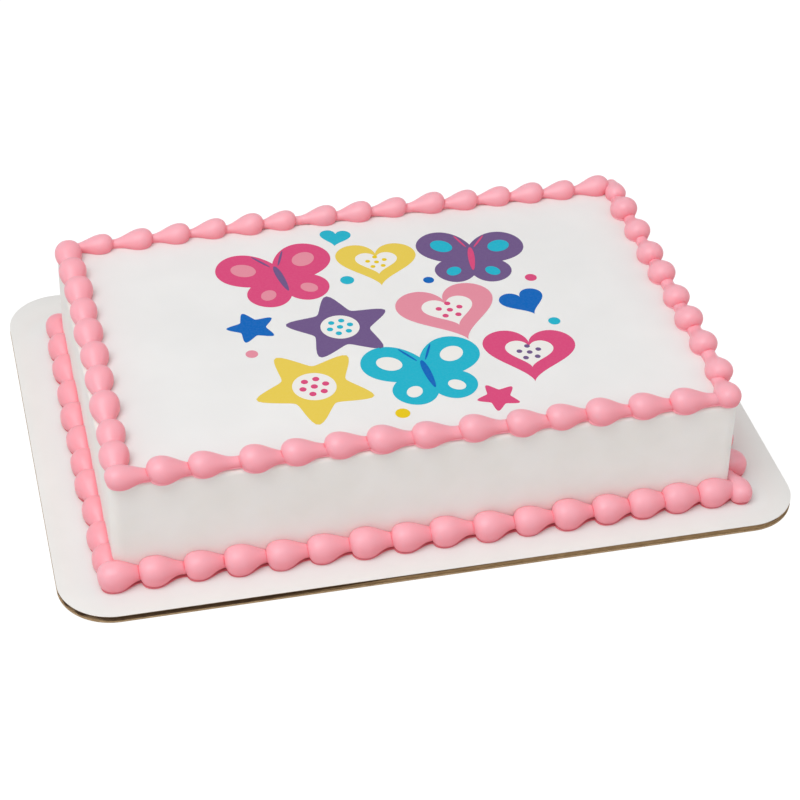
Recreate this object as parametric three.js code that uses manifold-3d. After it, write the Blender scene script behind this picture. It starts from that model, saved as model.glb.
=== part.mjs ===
// A decorated sheet cake on its board: an iced slab with softly rounded edges, a printed icing sheet
// laid on the top, and a border of piped teardrop beads round the top edge and round the foot.
// Millimetres, +Z up. The origin is at the middle of the board's underside, and the long front of
// the cake faces -Y.

import * as THREE from 'three';
import { mergeVertices } from 'three/addons/utils/BufferGeometryUtils.js';
import Module from 'manifold-3d';

const wasm = await Module();
wasm.setup();

// Clearance that a piece keeps where its neighbour cuts it.
const GAP = 0.3;

// The board: a 14 by 10 inch cake board of corrugated card.
const BOARD = { width: 355.6, depth: 254, thickness: 3.8, cornerRadius: 26, cornerSteps: 10 };

// The iced slab. It stands a little left of the board's middle and towards the front. Each wall
// leans out by the flare from the top edge down to the foot, and the foot lies that far to the right
// of the top, by `lean`.
const CAKE = { x: -2.8, y: -6.6, width: 297.4, depth: 192, height: 55.5, flare: 0.5, lean: 0.6 };
const CAKE_EDGE = { cornerRadius: 5, cornerSteps: 5, topRadius: 2.4, topSteps: 3 };
const CAKE_TOP = BOARD.thickness + CAKE.height;

// The printed icing sheet covers the top as far as the middle line of the border beads.
const SHEET = { x: -1.5, y: -7, width: 286, depth: 183, thickness: 0.6, cornerRadius: 3, cornerSteps: 2 };

// The form of one bead. It starts as a round head, then tapers to a neck that runs in under the next
// head. `head` and `neck` are half widths, and half heights are `squash` times those. `headHeight`
// and `neckHeight` are those of its middle line above the surface that the bead lies on. The neck
// lies `neckInward` closer to the cake's middle than the head does. `taper` is the way from the
// middle of the head to the full neck. It is shorter below and longer on top by the share `droop`,
// and the head leans back by the slope `lean`. `underside` is the power of the superellipse that
// rounds the lower half of the head, and `blunt` that of the one that rounds its start: 2 is a
// circle, and more is squarer.
const TOP_BEAD = {
  head: 6.9, neck: 3.2, squash: 0.9, headHeight: 3.9, neckHeight: 1.9, neckInward: -0.4,
  taper: 13, droop: 0.1, lean: 0.14, underside: 2.3, blunt: 2.15,
};
const FOOT_BEAD = {
  head: 7.1, neck: 3.3, squash: 0.92, headHeight: 5.6, neckHeight: 3.8, neckInward: 1.2,
  taper: 13, droop: 0.2, lean: 0.03, underside: 3.2, blunt: 2.4,
};
const BEAD_SIDES = 9;
const CAP_STEPS = 2;
const TAPER_STEPS = 3;

// The head that starts a run is round from its tip, in steps that begin this many radians off it.
const FIRST_CAP_STEPS = 3;
const TIP_ANGLE = 0.15;

// Piping by hand leaves the beads uneven: by a share of the radius of head and neck, and by shifts
// upwards and sideways. Each of them is a wave along the run, and the waves' paces keep them from
// repeating.
const UNEVEN = { radius: 0.035, neck: 0.09, height: 0.25, side: 0.25 };
const WAVE = { perBead: 2.4, perRun: 1.3, neckPace: 2.3, heightPace: 3.1, sidePace: 1.7 };

// A head that is made smaller or larger also lies lower or higher, by this share of the change.
const RISE_WITH_SIZE = 0.8;

// Points closer than this are one point.
const MERGE_DISTANCE = 1e-5;

// The runs of beads, piped anticlockwise as seen from above. `start` is where the first head stands
// and `turn` the direction of piping in degrees. `sway` says how far the first, middle and last
// beads stand towards the cake's middle, past the line through `start`. `girth` scales the heads of
// the run, and `first` and `last` those of its end beads again. `nose` stretches the round start of
// the first head, `thin` scales the necks and `tail` the length of the taper. `lengths` are the beads'
// lengths in the order in which they were piped, and `outward` says how far each stands out beyond
// that line where the hand slipped.
const TOP_RUNS = [
  {
    name: 'top_border_front', start: [-146.2, -101], turn: 0, sway: [0, 2, 1.2],
    girth: 1.01, first: 0.92, last: 1, nose: 1, thin: 1, tail: 1.05,
    lengths: [19.5, 18.5, 23.5, 19, 20, 20, 20.5, 22.5, 22.5, 19, 19.3, 20.6, 20.1, 18],
    outward: [0, 0, 0.2, 1, 0.1, 0, 0, 0.8, 0.9, 1, 0.1, 0.9, 0, 0.4],
  },
  {
    name: 'top_border_right', start: [141, -98.8], turn: 90, sway: [0.2, -1.5, -0.6],
    girth: 1, first: 0.92, last: 0.82, nose: 1.1, thin: 0.85, tail: 0.9,
    lengths: [18.5, 22, 20.5, 19, 21.5, 18, 21, 20.5, 16.5, 11],
    outward: [0, 1.7, 0.9, 0.6, 0.3, -0.3, 0, 0, -0.4, 1.2],
  },
  {
    name: 'top_border_back', start: [134.4, 85.9], turn: 180, sway: [-0.3, -1.4, 2.3],
    girth: 0.88, first: 1, last: 1, nose: 1, thin: 0.75, tail: 1,
    lengths: [18.5, 17.5, 17.5, 18, 18, 20, 19, 18.5, 21.5, 17.5, 19, 19, 19.5, 20, 17],
  },
  {
    name: 'top_border_left', start: [-146.6, 77.6], turn: 270, sway: [0, 1.5, 0.5],
    girth: 1.02, first: 1, last: 1, nose: 1, thin: 0.92, tail: 0.9,
    lengths: [16.5, 17, 17.5, 18, 18.5, 19, 21, 20.5, 16, 13],
  },
];
const FOOT_RUNS = [
  {
    name: 'foot_border_front', start: [-151.2, -107], turn: 0, sway: [1, 0, 0],
    girth: 1.03, first: 1.02, last: 1.06, nose: 1.1, thin: 1, tail: 1.07,
    lengths: [18.2, 20.5, 19, 19.3, 19.3, 20.3, 19.5, 19, 21, 19.5, 19.5, 19.5, 18, 17.5, 18, 13],
    outward: [0, 0, 0, 0, 0, 0, 0, 0, 0, 0, 0, 0, -0.3, -0.5, -1.2, -1.9],
  },
  {
    name: 'foot_border_right', start: [151.2, -105.2], turn: 90, sway: [0, -2.6, -1.1],
    girth: 1, first: 0.8, last: 1, nose: 1.3, thin: 0.9, tail: 0.9,
    lengths: [19, 20, 19.5, 19.5, 20.5, 19, 20.5, 19.5, 20.5, 19],
    outward: [0, 2, 1.5, 1, 0.6, 0.3, 0, 0, 0, 0],
  },
  {
    name: 'foot_border_back', start: [146.4, 94], turn: 180, sway: [0, -0.4, 0.2],
    girth: 0.98, first: 1, last: 1, nose: 1, thin: 1, tail: 1,
    lengths: [19, 18.5, 19.5, 18, 19, 20, 18.5, 19, 18.5, 19.5, 18, 19, 19.5, 18.5, 19, 17],
  },
  {
    name: 'foot_border_left', start: [-153.3, 91.5], turn: 270, sway: [0, -1, 0.2],
    girth: 1, first: 0.97, last: 1, nose: 1, thin: 1, tail: 1.08,
    lengths: [19, 19, 20.5, 19, 18.5, 18, 17.5, 18.5, 19.5, 15.5, 12],
  },
];

function surface(name, color, roughness) {
  return new THREE.MeshStandardMaterial({ name, color, roughness, metalness: 0 });
}

const WHITE_CARD = surface('white_card', 0xf4f2f0, 0.5);
const WHITE_ICING = surface('white_icing', 0xf1efeb, 0.6);
const ICING_SHEET = surface('icing_sheet', 0xe6b6c6, 0.7);
const PINK_ICING = surface('pink_icing', 0xfbaab4, 0.5);

// The corner points of a rounded rectangle about (x, y), anticlockwise.
function roundedRectangle(x, y, width, depth, radius, steps) {
  const points = [];
  for (let corner = 0; corner < 4; corner += 1) {
    const signX = corner === 0 || corner === 3 ? 1 : -1;
    const signY = corner < 2 ? 1 : -1;
    const middleX = x + signX * (width / 2 - radius);
    const middleY = y + signY * (depth / 2 - radius);
    for (let step = 0; step <= steps; step += 1) {
      const angle = (corner + step / steps) * Math.PI / 2;
      points.push([middleX + radius * Math.cos(angle), middleY + radius * Math.sin(angle)]);
    }
  }
  return points;
}

// One closed body through rings of points that all have the same count, closed by a fan of
// triangles on the middle point of its first and of its last ring.
function loft(rings) {
  const count = rings[0].length;
  const points = rings.flat();
  const faces = [];
  for (let ring = 0; ring + 1 < rings.length; ring += 1) {
    for (let i = 0; i < count; i += 1) {
      const a = ring * count + i;
      const b = ring * count + (i + 1) % count;
      faces.push(a, b, b + count, a, b + count, a + count);
    }
  }
  const sum = (ring) => ring.reduce((total, point) => total.add(point), new THREE.Vector3());
  const start = points.push(sum(rings[0]).divideScalar(count)) - 1;
  const end = points.push(sum(rings[rings.length - 1]).divideScalar(count)) - 1;
  const last = (rings.length - 1) * count;
  for (let i = 0; i < count; i += 1) {
    const next = (i + 1) % count;
    faces.push(start, next, i, end, last + i, last + next);
  }
  const geometry = new THREE.BufferGeometry();
  const positions = points.flatMap((point) => [point.x, point.y, point.z]);
  geometry.setAttribute('position', new THREE.Float32BufferAttribute(positions, 3));
  geometry.setIndex(faces);
  return geometry;
}

// A flat slab with rounded corners, from height `low` to height `high`.
function slab(shape, low, high, grow = 0) {
  const outline = roundedRectangle(
    shape.x ?? 0,
    shape.y ?? 0,
    shape.width + 2 * grow,
    shape.depth + 2 * grow,
    shape.cornerRadius + grow,
    shape.cornerSteps,
  );
  return loft([low, high].map((z) => outline.map(([x, y]) => new THREE.Vector3(x, y, z))));
}

// The iced slab: walls that lean out to the foot, a quarter round along the top edge, a flat top.
// `grow` makes it larger all round, as the shape that cuts the beads lying against it.
function cakeBody(grow = 0) {
  const ring = (z, outward, shift = 0) => roundedRectangle(
    CAKE.x + shift,
    CAKE.y,
    CAKE.width + 2 * outward,
    CAKE.depth + 2 * outward,
    CAKE_EDGE.cornerRadius + outward,
    CAKE_EDGE.cornerSteps,
  ).map(([x, y]) => new THREE.Vector3(x, y, z));
  const edgeFoot = CAKE_TOP - CAKE_EDGE.topRadius;
  const radius = CAKE_EDGE.topRadius + grow;
  const rings = [ring(BOARD.thickness - grow, CAKE.flare + grow, CAKE.lean)];
  for (let step = 0; step <= CAKE_EDGE.topSteps; step += 1) {
    const angle = step / CAKE_EDGE.topSteps * Math.PI / 2;
    rings.push(ring(edgeFoot + radius * Math.sin(angle), radius * Math.cos(angle) - CAKE_EDGE.topRadius));
  }
  return loft(rings);
}

// How much of the head is left at `way` past its middle: 1 there, falling as half a cosine wave to 0
// where the neck is full, which comes sooner on the underside (`rise` -1) than on top (`rise` 1).
function headShare(form, way, rise = 0) {
  const part = way / (form.taper * (1 + form.droop * rise));
  return (1 + Math.cos(Math.PI * Math.min(Math.max(part, 0), 1))) / 2;
}

// A ring of points round the middle line of a bead, `way` past the middle of its head, in the run's
// own frame: +X along the piping and +Y towards the cake's middle. `size` shrinks the ring where it
// rounds the start of the head.
function beadRing(head, form, way, size = 1) {
  const middle = headShare(form, way);
  const inward = head.inward + form.neckInward * (1 - middle);
  const height = form.neckHeight + (head.height - form.neckHeight) * middle;
  const ring = [];
  for (let side = 0; side < BEAD_SIDES; side += 1) {
    const angle = side / BEAD_SIDES * 2 * Math.PI;
    const across = Math.cos(angle);
    const rise = Math.sin(angle);
    const share = headShare(form, way, rise);
    const power = rise < 0 ? 2 + (form.underside - 2) * share : 2;
    const square = (Math.abs(across) ** power + Math.abs(rise) ** power) ** (-1 / power);
    const radius = size * square * (head.neck + (head.radius - head.neck) * share);
    const lean = form.lean * share * radius * rise;
    ring.push(new THREE.Vector3(
      head.along + way - lean,
      inward + radius * across,
      height + form.squash * radius * rise,
    ));
  }
  return ring;
}

// The sway of a run at `part` of its way, from 0 at its first bead to 1 at its last.
function swayAt([first, middle, last], part) {
  const rest = 1 - part;
  return first * rest * (rest - part) + middle * 4 * part * rest + last * part * (part - rest);
}

// Where the heads of a run stand in the run's own frame, and their radii.
function runHeads(run, runIndex, form) {
  const total = run.lengths.slice(0, -1).reduce((sum, length) => sum + length, 0);
  let along = 0;
  return run.lengths.map((length, index) => {
    const phase = WAVE.perBead * index + WAVE.perRun * runIndex;
    const ends = index === 0 ? run.first : index === run.lengths.length - 1 ? run.last : 1;
    const radius = form.head * run.girth * ends * (1 + UNEVEN.radius * Math.sin(phase));
    const rise = RISE_WITH_SIZE * (radius - form.head);
    const neckWave = 1 + UNEVEN.neck * Math.sin(WAVE.neckPace * phase);
    const sideShift = UNEVEN.side * Math.sin(WAVE.sidePace * phase);
    const heightShift = UNEVEN.height * Math.sin(WAVE.heightPace * phase);
    const head = {
      along,
      length,
      radius,
      neck: form.neck * run.thin * neckWave,
      nose: index === 0 ? run.nose : 1,
      inward: swayAt(run.sway, along / total) + sideShift - (run.outward?.[index] ?? 0),
      height: form.headHeight + rise + heightShift,
    };
    along += length;
    return head;
  });
}

// A point of the superellipse that rounds the start of a head, `angle` off its tip: how far it lies
// before the head's middle and how far off the middle line, as shares of the head's radius.
function startCurve(form, angle) {
  const along = Math.max(Math.cos(angle), 0);
  return [along ** (2 / form.blunt), Math.sin(angle) ** (2 / form.blunt)];
}

// The round start of a bead: rings from `startAngle` off its tip up to the head's full girth.
function headRings(head, form, startAngle, steps) {
  const rings = [];
  for (let step = 0; step <= steps; step += 1) {
    const angle = startAngle + (Math.PI / 2 - startAngle) * step / steps;
    const [before, size] = startCurve(form, angle);
    rings.push(beadRing(head, form, -head.nose * head.radius * before, size));
  }
  return rings;
}

// The tapering body of a bead: rings from past its head to its end, `way` past its middle.
function taperRings(head, form, way) {
  const rings = [];
  for (let step = 1; step <= TAPER_STEPS; step += 1) {
    rings.push(beadRing(head, form, way * step / TAPER_STEPS));
  }
  return rings;
}

// The rings of a whole run. Each bead ends in a crease, where it is as thin as the next head's round
// start, and the last one runs on in under the head that the next run starts with.
function runRings(heads, form) {
  let creaseAngle = TIP_ANGLE;
  return heads.flatMap((head, index) => {
    const next = heads[index + 1];
    const start = index === 0
      ? headRings(head, form, creaseAngle, FIRST_CAP_STEPS)
      : headRings(head, form, creaseAngle, CAP_STEPS).slice(1);
    if (!next) {
      return [...start, ...taperRings(head, form, head.length)];
    }
    const reach = next.along - head.along - next.radius;
    const girth = head.neck + (head.radius - head.neck) * headShare(form, reach);
    creaseAngle = Math.asin((girth / next.radius) ** (form.blunt / 2));
    const [before] = startCurve(form, creaseAngle);
    return [...start, ...taperRings(head, form, reach + next.radius * (1 - before))];
  });
}

// Turns and moves a geometry from a run's own frame to its place on the cake.
function placeRun(geometry, run, ground) {
  geometry.rotateZ(run.turn * Math.PI / 180);
  geometry.translate(run.start[0], run.start[1], ground);
  return geometry;
}

function toSolid(geometry) {
  geometry.deleteAttribute('normal');
  geometry.deleteAttribute('uv');
  const merged = mergeVertices(geometry, MERGE_DISTANCE);
  return new wasm.Manifold(new wasm.Mesh({
    numProp: 3,
    vertProperties: merged.attributes.position.array,
    triVerts: Uint32Array.from(merged.index.array),
  }));
}

function toGeometry(solid) {
  const mesh = solid.getMesh();
  const geometry = new THREE.BufferGeometry();
  geometry.setAttribute('position', new THREE.BufferAttribute(mesh.vertProperties, 3));
  geometry.setIndex(new THREE.BufferAttribute(mesh.triVerts, 1));
  return geometry;
}

function runSolid({ run, form, ground }, heads) {
  return toSolid(placeRun(loft(runRings(heads, form)), run, ground));
}

// A run of beads as one solid, cut by what it lies on and by the head that the next run starts with.
function runBody(border, index, cutters) {
  const next = border[(index + 1) % border.length];
  const firstHead = { ...next.heads[0], radius: next.heads[0].radius + GAP };
  let solid = runSolid(border[index], border[index].heads).subtract(runSolid(next, [firstHead]));
  cutters.forEach((cutter) => {
    solid = solid.subtract(cutter);
  });
  return toGeometry(solid);
}

function mesh(name, geometry, material) {
  geometry.computeVertexNormals();
  const piece = new THREE.Mesh(geometry, material);
  piece.name = name;
  return piece;
}

const cake = new THREE.Group();
cake.name = 'decorated_sheet_cake';
cake.add(mesh('cake_board', slab(BOARD, 0, BOARD.thickness), WHITE_CARD));
cake.add(mesh('iced_cake', cakeBody(), WHITE_ICING));
cake.add(mesh('printed_icing_sheet', slab(SHEET, CAKE_TOP, CAKE_TOP + SHEET.thickness), ICING_SHEET));

const cutters = [
  toSolid(cakeBody(GAP)),
  toSolid(slab(BOARD, -GAP, BOARD.thickness + GAP)),
  toSolid(slab(SHEET, CAKE_TOP, CAKE_TOP + SHEET.thickness + GAP, GAP)),
];

function addBorder(runs, form, ground) {
  const border = runs.map((run, index) => ({
    run,
    form: { ...form, taper: form.taper * run.tail },
    ground,
    heads: runHeads(run, index, form),
  }));
  border.forEach(({ run }, index) => {
    cake.add(mesh(run.name, runBody(border, index, cutters), PINK_ICING));
  });
}

addBorder(TOP_RUNS, TOP_BEAD, CAKE_TOP);
addBorder(FOOT_RUNS, FOOT_BEAD, BOARD.thickness);

export default cake;
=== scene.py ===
"""Dresses a decorated sheet cake: smooth white buttercream, piped pink beads, a printed icing sheet
and a corrugated cake board, under the soft light of a white studio.

Lengths are millimetres until a mesh is made, and metres from there on. +X runs along the cake's long
side, +Y from its front to its back and +Z up, from the middle of the board's underside.
"""

import math

import bpy
import numpy as np
from mathutils import Matrix


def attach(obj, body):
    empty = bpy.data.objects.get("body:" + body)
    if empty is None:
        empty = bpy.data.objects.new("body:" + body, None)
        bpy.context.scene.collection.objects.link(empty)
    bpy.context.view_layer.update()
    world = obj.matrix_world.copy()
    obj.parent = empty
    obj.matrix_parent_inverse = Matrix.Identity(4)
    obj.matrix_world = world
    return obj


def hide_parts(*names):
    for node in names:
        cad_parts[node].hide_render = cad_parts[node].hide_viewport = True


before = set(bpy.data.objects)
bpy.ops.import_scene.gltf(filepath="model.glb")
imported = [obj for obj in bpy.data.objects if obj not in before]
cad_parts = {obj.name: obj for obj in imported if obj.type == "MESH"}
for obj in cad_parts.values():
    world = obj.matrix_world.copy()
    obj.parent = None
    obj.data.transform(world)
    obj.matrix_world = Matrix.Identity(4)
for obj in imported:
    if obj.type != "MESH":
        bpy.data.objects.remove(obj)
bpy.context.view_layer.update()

MM = 0.001
TURN = 2 * math.pi
UPWARDS = (0, 0, 1)

# The camera: where it stands, in millimetres, how it looks, in degrees, its lens, in millimetres for
# a sensor 36 mm wide, and how near it sees, in metres.
CAMERA_PLACE = (-223.953, -882.255, 716.153)
CAMERA_AZIMUTH = -14.727
CAMERA_ELEVATION = 37.945
CAMERA_ROLL = 1.908
CAMERA_LENS = 102.869
CAMERA_SENSOR = 36
CAMERA_NEAR = 0.01

# The board of corrugated card: two flat liners with a fluted sheet between them.
BOARD_WIDTH = 355.6
BOARD_DEPTH = 254
BOARD_THICKNESS = 3.8
BOARD_CORNER = 26
LINER_THICKNESS = 0.42
LOWER_LINER = 0.8

# A liner's rounded edge, the share of it at which its middle ring lies, and how far in from the edge
# the rings in its faces lie.
LINER_EDGE_ROUND = 0.12
LINER_EDGE_BEND = 0.3
LINER_INSETS = (24, 8)

# The fluted sheet: the waves' length, its own thickness, how far in it starts and ends, how much the
# flutes turn away from the front edge, in radians, where the wave stands at the middle, also in
# radians, the play between it and the liners, and its rows of points.
FLUTE_PITCH = 7.8
FLUTE_THICKNESS = 0.28
FLUTE_INSET = 0.35
FLUTE_BAND = 17
FLUTE_DRIFT = 0.0085
FLUTE_PHASE = -0.83
FLUTE_PLAY = 0.02
FLUTE_ROWS = 26

# The crushed part of the sheet: where along X it begins and is full, how much thicker the sheet is
# there at the very edge, and the gap that is left under it.
CRUSH_START = -85
CRUSH_END = -25
CRUSH_FILL = 4
CRUSH_GAP = 0.3

# The iced slab and the printed sheet on it, with the solids' measures. The sheet's top stays a little
# under that of its solid.
CAKE_X = -2.8
CAKE_Y = -6.6
CAKE_WIDTH = 297.4
CAKE_DEPTH = 192
CAKE_TOP = 59.3
CAKE_FLARE = 0.5
CAKE_LEAN = 0.6
CAKE_CORNER = 5
CAKE_EDGE_ROUND = 2.4
SHEET_X = -1.5
SHEET_Y = -7
SHEET_WIDTH = 286
SHEET_DEPTH = 183
SHEET_CORNER = 3
SHEET_TOP = 59.85

# The rings of points up the wall and round the top edge, the shares to which those on the flat top
# shrink, and the rings of the sheet with the share to which they shrink.
WALL_RINGS = 40
EDGE_RINGS = 12
TOP_RING_SHARES = (0.97, 0.9, 0.6, 0.2)
SHEET_RINGS = 46
SHEET_LAST_RING = 0.02

# The half heights of the icing's gentle swells: long, leaning and short ones on the wall, long and
# short ones on the sheet. The sheet lies lower by SHEET_SINK, so that no swell passes its top.
WALL_LONG_SWELL = 0.16
WALL_LEANING_SWELL = 0.09
WALL_SHORT_SWELL = 0.04
SHEET_LONG_SWELL = 0.1
SHEET_SHORT_SWELL = 0.03
SHEET_SINK = 0.14

# The form of one bead, as the solids have it: half widths of head and neck, the share of them that
# is its half height, the heights of its middle line above what it lies on, how far the neck lies
# inward, the length of the taper, the share by which it is shorter below and longer on top, the
# backward lean of the head, and the powers of the superellipses that round its underside, its start
# and the inner half of its upper side. At the power 2 it is round, and above that squarer.
TOP_BEAD = dict(head=6.9, neck=3.2, squash=0.9, head_height=3.9, neck_height=1.9, neck_inward=-0.4,
                taper=13, droop=0.1, lean=0.14, underside=2.3, blunt=2.15, ridge=2)
FOOT_BEAD = dict(head=7.1, neck=3.3, squash=0.92, head_height=5.6, neck_height=3.8, neck_inward=1.2,
                 taper=13, droop=0.2, lean=0.03, underside=3.2, blunt=2.4, ridge=2)

# The base that each bead spreads on what it lies on: its half width as a share of the head's and of
# the neck's, the share of them that is its half height, its own height and the length of its taper.
TOP_BASE = dict(head=0.9, neck=1.0, squash=0.3, height=0.7, taper=11)
FOOT_BASE = dict(head=0.85, neck=0.78, squash=0.13, height=0.1, taper=12)

# A block with the board's outline and top cuts the foot borders off flat. Its bottom lies this high,
# which is below every bead.
BLOCK_BOTTOM = -5

# Piping by hand leaves the beads uneven, as in the solids: head and neck by a share, height and side
# place in millimetres. Each is a wave along the run, in radians for each bead and run, and the waves'
# paces keep them from repeating. A larger head also lies higher, by a share of the change.
UNEVEN_RADIUS = 0.035
UNEVEN_NECK = 0.09
UNEVEN_HEIGHT = 0.25
UNEVEN_SIDE = 0.25
WAVE_PER_BEAD = 2.4
WAVE_PER_RUN = 1.3
NECK_PACE = 2.3
HEIGHT_PACE = 3.1
SIDE_PACE = 1.7
RISE_WITH_SIZE = 0.8

# The skin of one bead: its share of the solids' radius, which puts it between their corners and their
# flat sides, its points round and rings along, the angle off the tip at which the first ring lies, in
# radians, and how narrow the last ring is, inside the next head.
SKIN = 0.98
BEAD_COLUMNS = 44
CAP_ROWS = 11
CAP_START = 0.06
TAPER_ROWS = 18
LAST_RING = 0.8

# The runs of beads, each with the place of its first head, its direction in degrees, how far its
# first, middle and last beads stand towards the cake's middle, the scale of its heads, of its two
# end heads, of its first head's length, of its necks and of its tapers' length, and the lengths of
# its beads in the order of piping. Where a hand slipped, outward says how far each bead stands out.
# A run may have values of the bead's form of its own, and its own value at which the painted light on its
# pink is full.
TOP_RUNS = [
    dict(name="top_border_front", start=(-146.2, -101), turn=0, sway=(0, 2, 1.2),
         girth=1.01, first=0.92, last=1, nose=1, thin=1, tail=1.05,
         own=dict(neck_inward=0.7, neck_height=2.3),
         lengths=(19.5, 18.5, 23.5, 19, 20, 20, 20.5, 22.5, 22.5, 19, 19.3, 20.6, 20.1, 18),
         outward=(0, 0, 0.2, 1, 0.1, 0, 0, 0.8, 0.9, 1, 0.1, 0.9, 0, 0.4)),
    dict(name="top_border_right", start=(141, -98.8), turn=90, sway=(0.2, -1.5, -0.6),
         girth=1, first=0.92, last=0.82, nose=1.1, thin=1, tail=0.9,
         lengths=(18.5, 22, 20.5, 19, 21.5, 18, 21, 20.5, 16.5, 11),
         outward=(0, 1.7, 0.9, 0.6, 0.3, -0.3, 0, 0, -0.4, 1.2)),
    dict(name="top_border_back", start=(134.4, 85.9), turn=180, sway=(-0.3, -1.4, 2.3),
         girth=0.88, first=1, last=1, nose=1, thin=0.75, tail=1,
         lengths=(18.5, 17.5, 17.5, 18, 18, 20, 19, 18.5, 21.5, 17.5, 19, 19, 19.5, 20, 17)),
    dict(name="top_border_left", start=(-146.6, 77.6), turn=270, sway=(0, 1.5, 0.5),
         girth=1.02, first=1, last=1, nose=1, thin=0.92, tail=0.9,
         # Its painted light is full later, so it is painted a little deeper pink all over, as painted
         # shade.
         own=dict(ridge=2.35), lit_at=1.15,
         lengths=(16.5, 17, 17.5, 18, 18.5, 19, 21, 20.5, 16, 13)),
]
FOOT_RUNS = [
    dict(name="foot_border_front", start=(-151.2, -107), turn=0, sway=(1, 0, 0),
         girth=1.03, first=1.02, last=1.06, nose=1.1, thin=1, tail=1.07,
         lengths=(18.2, 20.5, 19, 19.3, 19.3, 20.3, 19.5, 19, 21, 19.5, 19.5, 19.5, 18, 17.5, 18, 13),
         outward=(0, 0, 0, 0, 0, 0, 0, 0, 0, 0, 0, 0, -0.3, -0.5, -1.2, -1.9)),
    dict(name="foot_border_right", start=(151.2, -105.2), turn=90, sway=(0, -2.6, -1.1),
         girth=1, first=0.8, last=1, nose=1.3, thin=0.9, tail=0.9,
         lengths=(19, 20, 19.5, 19.5, 20.5, 19, 20.5, 19.5, 20.5, 19),
         outward=(0, 2, 1.5, 1, 0.6, 0.3, 0, 0, 0, 0)),
    dict(name="foot_border_back", start=(146.4, 94), turn=180, sway=(0, -0.4, 0.2),
         girth=0.98, first=1, last=1, nose=1, thin=1, tail=1,
         lengths=(19, 18.5, 19.5, 18, 19, 20, 18.5, 19, 18.5, 19.5, 18, 19, 19.5, 18.5, 19, 17)),
    dict(name="foot_border_left", start=(-153.3, 91.5), turn=270, sway=(0, -1, 0.2),
         girth=1, first=0.97, last=1, nose=1, thin=1, tail=1.08,
         # Its painted light is full much later, so it is painted a deeper pink all over, as painted shade.
         own=dict(ridge=2.35), lit_at=1.9,
         lengths=(19, 19, 20.5, 19, 18.5, 18, 17.5, 18.5, 19.5, 15.5, 12)),
]

# The sharpest angles that are still shaded smooth, in degrees.
EDGE_CREASE = 40
FLUTE_CREASE = 50
INK_CREASE = 50
BEAD_CREASE = 32

# The print: a staggered pattern of butterflies, hearts and stars about a middle point on the sheet.
# A field of ink lies a layer or more above the sheet and goes a little way down into it.
PRINT_X = 3
PRINT_Y = -3
INK_LAYER = 0.03
INK_BELOW = 0.05
INK_COLUMNS = 96
INK_RINGS = 6
INK_LAST_RING = 0.05

# A butterfly's upper and lower wings: which way they point, in degrees, and their middle, half
# length, half width and spot as shares of half the span.
WINGS = (
    dict(points=38, reach=0.5, length=0.55, breadth=0.41, spot=0.2, layer=1),
    dict(points=-48, reach=0.37, length=0.42, breadth=0.33, spot=0.14, layer=2),
)

# How sharp a star's points and hollows are. At 1 they aren't rounded at all.
STAR_SHARPNESS = 0.86

# Where a finish changes. A tint is full up to the first value and has gone at the second: painted shade on
# the beads out from the wall, painted shade on the beads up from the board, a cooler white painted on the
# board out from the wall to cancel the beads' pink bounce light, and the brown of the cut card up the
# board's rim. Heights are over the board's underside. The wall's box ends below the top border, which has
# no such painted shade. The painted crease shade is given in steps of the shape's pointiness, from deep to
# flat.
WALL_BOX_DROP = 12
WALL_BOX = ((CAKE_X - CAKE_WIDTH / 2, CAKE_Y - CAKE_DEPTH / 2, 0),
            (CAKE_X + CAKE_WIDTH / 2, CAKE_Y + CAKE_DEPTH / 2, CAKE_TOP - WALL_BOX_DROP))
WALL_SHADE_RANGE = (0.3, 1.6)
BOARD_SHADE_RANGE = (BOARD_THICKNESS + 0.2, BOARD_THICKNESS + 1.1)
BOUNCE_CANCEL_RANGE = (11, 21)
CUT_RIM = (BOARD_THICKNESS - 0.16, BOARD_THICKNESS - 0.06)
CREASE_SHADE_STEPS = (0.44, 0.492)

# The pink icing is painted paler on the side that this direction points to, which faces the softboxes, and
# deeper pink away from it: painted light and shade. It is the shaded pink where the product of that
# direction and the surface's own is at the first value below or less, and the lit pink where it reaches
# the second. A run whose own second value is over 1 is painted a deeper pink all over, as painted shade.
LIT_SIDE = (-0.5, -0.15, 0.85)
SHADED_AT = -0.25
LIT_AT = 0.95

# The white studio's strength above and below the horizon, how far above and below it one turns into
# the other, and the softboxes, the two strong ones from the left: azimuth and elevation in degrees,
# distance and size in millimetres, and the light that each throws on what faces it at the middle of
# the board, in watts for each square metre.
LIGHT_FROM_ABOVE = 0.51
LIGHT_FROM_BELOW = 0.77
HORIZON_BLUR = 0.15
SOFTBOXES = {
    "key": dict(azimuth=-54, elevation=67, distance=2400, size=1700, light=1.38),
    "fill": dict(azimuth=-55, elevation=38, distance=1200, size=800, light=0.26),
    "right": dict(azimuth=65, elevation=35, distance=1500, size=900, light=0.17),
}

# How far the floor reaches each way, and the lines of its grid each way.
FLOOR_REACH = 3000
FLOOR_LINES = 5


def linear(red, green, blue):
    """The light value of a colour given in the 0 to 255 steps of a screen."""
    steps = np.array([red, green, blue]) / 255
    values = np.where(steps <= 0.04045, steps / 12.92, ((steps + 0.055) / 1.055) ** 2.4)
    return (*values.tolist(), 1.0)


# Colours. A pair is the range that a finish's clouds or fibres move in.
WHITE_LIGHT = (1, 1, 1, 1)
FLOOR_GREY = ((0.05, 0.05, 0.05, 1), (0.06, 0.06, 0.06, 1))
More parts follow.
